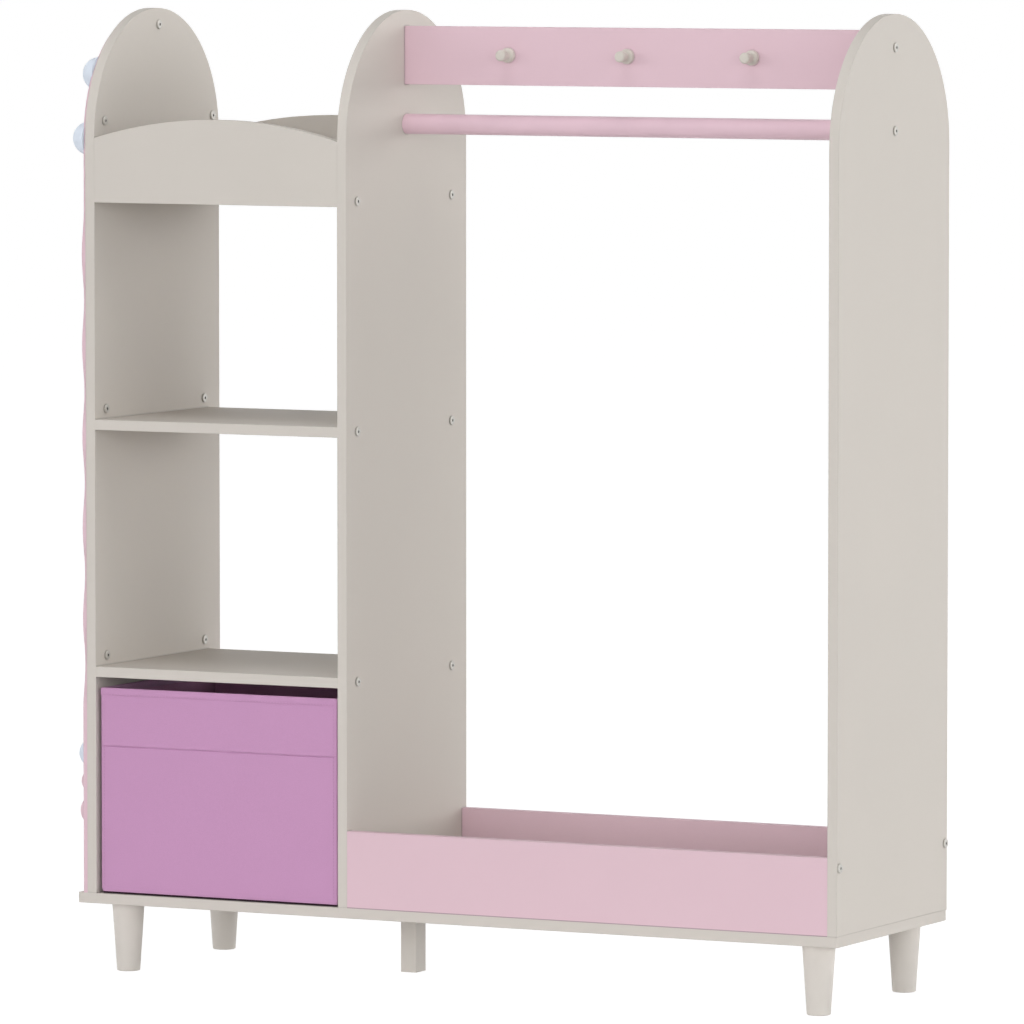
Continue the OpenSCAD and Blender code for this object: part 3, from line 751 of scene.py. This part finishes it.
def shadow_sheet(low, high, mat):
    """A near-black sheet under the bin, a little smaller than its walls: painted shadow in the
    gap.
    """
    gap = Vector((SHADOW_SHEET_INSET, SHADOW_SHEET_INSET))
    stations = outline(low.xy + gap, high.xy - gap, CORNER_RADIUS)
    # Its top lies inside the fabric's curled lower edge
    top = low.z + SHADOW_SHEET_HEIGHT + HEEL_RADIUS
    profile = [
        (-SHADOW_SHEET_EASE, low.z),
        (0.0, low.z + SHADOW_SHEET_EASE),
        (0.0, top),
        (-FOOT_RADIUS, top),
    ]
    faces = ring_faces(len(profile), len(stations), closed_start=True, closed_end=True)
    mesh_piece("bin_shadow_sheet", swept(stations, profile), faces, mat)


def band_profile(top, wall):
    """The binding's outline as (outward offset, height), from its outer foot over the top."""
    foot = top - BAND_HEIGHT
    shoulder = top - ROLL_HEIGHT
    roll = (wall + 2 * BAND_THICKNESS) / 2
    inner = BAND_THICKNESS - 2 * roll
    profile = [
        (-BAND_TUCK, foot),
        (BAND_FOOT, foot),
        (BAND_THICKNESS, foot + BAND_EASE),
        (BAND_BELLY, foot + BAND_BELLY_RISE),
        (BAND_THICKNESS, shoulder),
    ]
    for i in range(1, ROLL_STEPS):
        angle = math.pi * i / ROLL_STEPS
        across = BAND_THICKNESS - roll + roll * math.cos(angle)
        profile.append((across, shoulder + ROLL_HEIGHT * math.sin(angle)))
    profile += [
        (inner, shoulder),
        (inner, foot + BAND_EASE),
        (inner + BAND_FOOT, foot),
    ]
    return profile


def mouth_band(low, high, wall, mat):
    """The binding folded over the mouth, with a rolled top edge on both faces."""
    stations = outline(low.xy, high.xy, CORNER_RADIUS)
    profile = band_profile(high.z, wall)
    faces = ring_faces(len(profile), len(stations))
    band = mesh_piece("bin_mouth_band", swept(stations, profile), faces, mat)
    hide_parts("bin_hem")


def stitch(verts, faces, centre, along, outward):
    """Adds one thread stitch, a slim spindle, to a mesh's lists."""
    side = along.cross(outward).normalized()
    start = len(verts)
    for share in STITCH_SHARES:
        radius = STITCH_RADIUS * (STITCH_TIP if abs(share) == 0.5 else 1.0)
        # Its middle stands half proud and its ends sink into the fabric
        lift = STITCH_RADIUS * (0.5 - 2.2 * share * share)
        for k in range(STITCH_SIDES):
            angle = 2 * math.pi * k / STITCH_SIDES
            ring = side * math.cos(angle) + outward * math.sin(angle)
            point = centre + along * share * STITCH_LENGTH + outward * lift + ring * radius
            verts.append(point)
    for face in ring_faces(len(STITCH_SHARES), STITCH_SIDES, closed_start=True, closed_end=True):
        faces.append(tuple(start + i for i in face))


def stitch_row(verts, faces, start, end, outward):
    """Stitches at an even pitch from start to end."""
    along = end - start
    count = max(1, round(along.length / STITCH_PITCH))
    for i in range(count):
        centre = start.lerp(end, (i + 0.5) / count)
        stitch(verts, faces, centre, along.normalized(), outward)


def stitching(low, high, mat):
    """Rows of stitches on the binding and beside the front's and back's upright corners."""
    verts, faces = [], []
    left, right = low.x + ROW_END, high.x - ROW_END
    near, far = low.y + ROW_END, high.y - ROW_END
    rows = [
        ((left, low.y - ROW_SKIN), (right, low.y - ROW_SKIN), (0, -1, 0)),
        ((left, high.y + ROW_SKIN), (right, high.y + ROW_SKIN), (0, 1, 0)),
        ((low.x - ROW_SKIN, near), (low.x - ROW_SKIN, far), (-1, 0, 0)),
        ((high.x + ROW_SKIN, near), (high.x + ROW_SKIN, far), (1, 0, 0)),
    ]
    row_height = high.z - BAND_HEIGHT + ROW_RISE
    for start, end, outward in rows:
        first, last = Vector((*start, row_height)), Vector((*end, row_height))
        stitch_row(verts, faces, first, last, Vector(outward))
    seam_low = low.z + SHADOW_SHEET_HEIGHT + FOOT_RADIUS + SEAM_FOOT
    seam_high = high.z - BAND_HEIGHT - SEAM_TOP
    for x in (low.x + SEAM_INSET, high.x - SEAM_INSET):
        for y, outward in ((low.y, Vector((0, -1, 0))), (high.y, Vector((0, 1, 0)))):
            surface = Vector((x, y, 0)) + outward * SEAM_PROUD
            start = surface + Vector((0, 0, seam_low))
            stitch_row(verts, faces, start, surface + Vector((0, 0, seam_high)), outward)
    mesh_piece("bin_stitching", verts, faces, mat)


def sewn_bin():
    """Every piece of the fabric bin."""
    fabric = woven_fabric("lilac_weave", LILAC)
    # The lining's cloth is darker than the outside with painted shade
    inside = woven_fabric("lining_painted_shade_weave", LINING_PAINTED_SHADE)
    thread = woven_fabric("sewing_thread", THREAD, THREAD_PITCH)
    # Near-black cloth of the sheet that paints the shadow under the bin
    base = woven_fabric("shadow_sheet_weave", SHADOW_SHEET_COLOUR)
    low, high = bin_box()
    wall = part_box("bin_front")[1].y - low.y
    outer_shell(low, high, fabric)
    lining(low, high, wall, inside)
    base_card(low, high, wall, inside)
    shadow_sheet(low, high, base)
    mouth_band(low, high, wall, fabric)
    stitching(low, high, thread)


# ---- The rigid parts -------------------------------------------------------------------


def boards():
    """The foil of every board and of the mirror frame."""
    uprights = ["left_side_panel", "middle_panel", "right_side_panel"]
    shelves = ["lower_shelf", "upper_shelf", "tray_shelf"]
    tray = ["tray_front_board", "tray_back_board"]
    pink = ["peg_rail", "low_front_board", "low_back_board"]
    dress(["base_board"], laminate("base_cream", CREAM))
    cream_board = laminate("cream_board", CREAM, painted_hairline=CREAM_PAINTED_HAIRLINE)
    dress(uprights + shelves + tray, cream_board)
    dress(pink, laminate("pink_board", PINK, painted_hairline=PINK_PAINTED_HAIRLINE))
    dress(["mirror_frame"], laminate("pink_frame", PINK, FRAME_PAINTED_JOINT_SHADE))


def turned_wood():
    """The lacquer of the legs, the pegs and the pole, and the bare dowels."""
    legs = ["leg_front_left", "leg_front_right", "leg_back_left", "leg_back_right"]
    pegs = ["peg_left", "peg_middle", "peg_right"]
    # The legs' lighter cream is painted light
    dress(legs + ["centre_leg"], painted_wood("cream_turned_painted_light", PAINTED_LIGHT_LEG_WOOD, LEG_RINGS))
    dress(pegs, painted_wood("cream_peg", CREAM_WOOD, PEG_RINGS))
    dress(["clothes_pole"], painted_wood("pink_pole", PINK_LACQUER, POLE_RINGS, 0.32))
    dress([name for name in frame["nodes"] if name.endswith("_dowels")], raw_beech())


def mirror_side():
    """The mirror's coat and the moulded domes on its frame."""
    dress(["mirror_sheet"], mirror_coat())
    blue = moulded_plastic("blue_dome", PALE_BLUE)
    for name in ("arch_domes", "low_blue_domes"):
        domes(name, blue)
    pink = moulded_plastic("pink_dome", PINK_DOME)
    for name in ("small_pink_domes", "large_pink_domes"):
        domes(name, pink)


def metal_parts():
    """The plating of screws, studs and inserts, and the screws that are let in."""
    zinc = plated_metal("zinc_plate", STEEL)
    screws = [name for name in frame["nodes"] if name.endswith("_screws")]
    dress(screws + ["leg_studs"], zinc)
    dress(["leg_inserts"], plated_metal("brass", BRASS))
    right_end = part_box("base_board")[1].x
    flush_screws("base_screws", Vector((0, 0, 1)), right_end, zinc)
    # Of these, only the two behind the bin's right side are let in
    between_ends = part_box("low_front_board")[1].x / 2
    flush_screws("low_board_screws", Vector((1, 0, 0)), between_ends, zinc)


# ---- Stage -----------------------------------------------------------------------------


def sees_stage(mat):
    """1 for rays that see the stage itself, straight or in gloss or glass, and 0 for others."""
    rays = add(mat, "LightPath").outputs
    direct = combine(mat, "MAXIMUM", rays["Is Camera Ray"], rays["Is Glossy Ray"])
    return combine(mat, "MAXIMUM", direct, rays["Is Transmission Ray"])


def floor():
    """A wide pale floor, on which the camera sees mostly plain light and little shadow."""
    half = FLOOR_HALF_WIDTH
    mesh = bpy.data.meshes.new("floor")
    corners = [(-half, -half, 0), (half, -half, 0), (half, half, 0), (-half, half, 0)]
    mesh.from_pydata(corners, [], [(0, 1, 2, 3)])
    plane = new_object("floor", mesh)
    mat = bpy.data.materials.new("floor")
    mat.use_nodes = True
    mat.node_tree.nodes.clear()
    lit = add(mat, "BsdfDiffuse", {"Color": (*PALE_FLOOR, 1)}).outputs["BSDF"]
    light = {"Color": (*WHITE, 1), "Strength": FLOOR_LIGHT}
    plain = add(mat, "Emission", light).outputs["Emission"]
    share = combine(mat, "MULTIPLY", sees_stage(mat), FLOOR_PLAIN_SHARE)
    mix = add(mat, "MixShader", {0: share, 1: lit, 2: plain})
    out = add(mat, "OutputMaterial")
    feed(mat, out.inputs["Surface"], mix.outputs["Shader"])
    mesh.materials.append(mat)


def world():
    """Soft light from a band above the horizon. The camera and reflections see white."""
    space = bpy.data.worlds.new("studio")
    bpy.context.scene.world = space
    space.use_nodes = True
    space.node_tree.nodes.clear()
    way = add(space, "TexCoord").outputs["Generated"]
    rise = add(space, "SeparateXYZ", {"Vector": way}).outputs["Z"]
    strength = spread(space, rise, WORLD_STRENGTH, 0.0, GLOW_FULL, GLOW_END)
    glow = add(space, "Background", {"Color": (*WHITE, 1), "Strength": strength})
    plain = add(space, "Background", {"Color": (*WHITE, 1), "Strength": 1.0})
    backgrounds = {1: glow.outputs["Background"], 2: plain.outputs["Background"]}
    mix = add(space, "MixShader", {0: sees_stage(space), **backgrounds})
    out = add(space, "OutputWorld")
    feed(space, out.inputs["Surface"], mix.outputs["Shader"])


def stand_off(name, data, azimuth, elevation, distance):
    """A lamp or camera that looks at the object from a direction in degrees."""
    item = new_object(name, data)
    turn = math.radians(azimuth)
    rise = math.radians(elevation)
    level = math.cos(rise)
    back = Vector((math.sin(turn) * level, -math.cos(turn) * level, math.sin(rise)))
    item.location = CAMERA_AIM + back * distance
    item.rotation_euler = (-back).to_track_quat("-Z", "Y").to_euler()
    return item


def lamps():
    """Square lamps around the object."""
    for name, (azimuth, elevation, size, power) in LAMPS.items():
        data = bpy.data.lights.new(name, "AREA")
        data.size = size
        data.energy = power
        stand_off(name, data, azimuth, elevation, LAMP_DISTANCE)


def camera():
    """The photograph's view."""
    data = bpy.data.cameras.new("camera")
    data.lens = CAMERA_LENS
    data.sensor_width = CAMERA_SENSOR
    data.clip_start = CAMERA_CLIP_START
    data.clip_end = CAMERA_CLIP_END
    eye = stand_off("camera", data, CAMERA_AZIMUTH, CAMERA_ELEVATION, CAMERA_DISTANCE)
    bpy.context.scene.camera = eye


# ---- The scene -------------------------------------------------------------------------

bpy.ops.wm.read_factory_settings(use_empty=True)
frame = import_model()

boards()
turned_wood()
mirror_side()
metal_parts()
sewn_bin()

floor()
world()
lamps()
camera()
bpy.context.scene.view_settings.view_transform = "Standard"
